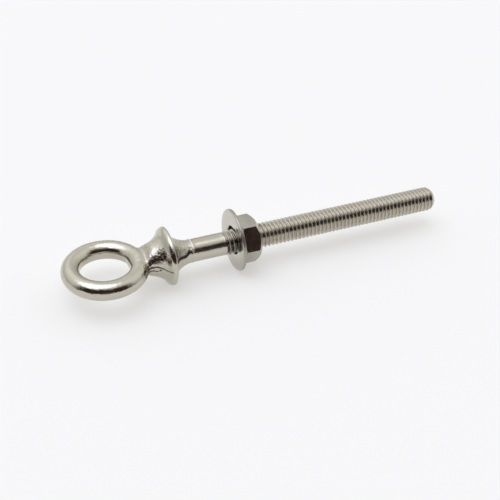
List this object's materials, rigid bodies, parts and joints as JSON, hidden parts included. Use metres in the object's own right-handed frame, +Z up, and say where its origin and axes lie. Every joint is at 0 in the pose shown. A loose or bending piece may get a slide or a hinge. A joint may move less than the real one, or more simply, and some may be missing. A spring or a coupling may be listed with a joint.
{
  "type": "eye bolt",
  "caption": "Forged eye bolt with a round collar and a long threaded shank, carrying a loose plain washer and a hexagon nut, for anchoring lines and light loads.",
  "frame": {"origin": "on the bolt's axis, in the plane of the collar's flat bearing face", "axes": "+X along the bolt from the eye to the thread end; the eye's ring lies in the XY plane; +Z up as the bolt lies on a surface"},
  "size_m": [0.0944, 0.02, 0.0148],
  "materials": {
    "forged_stainless": "forged, turned and thread-rolled stainless steel, polished bright",
    "washer_stainless": "punched stainless steel sheet, tumbled bright",
    "nut_stainless": "cold-formed stainless steel, bright"
  },
  "bodies": {
    "bolt": {"eye_bolt": "forged_stainless"},
    "washer": {"washer": "washer_stainless"},
    "nut": {"nut": "nut_stainless"}
  },
  "joints": [
    {"name": "nut_travel", "type": "slide", "parent": "bolt", "child": "washer", "axis": [1, 0, 0], "range_m": [-0.0025, 0.053]},
    {"name": "nut_spin", "type": "hinge", "parent": "washer", "child": "nut", "pos_m": [0.01865, 0, 0], "axis": [1, 0, 0], "range_deg": [-900, 19080]}
  ],
  "couplings": [
    {"joint": "nut_spin", "follows": "nut_travel", "rad_per_m": 6283.2}
  ]
}
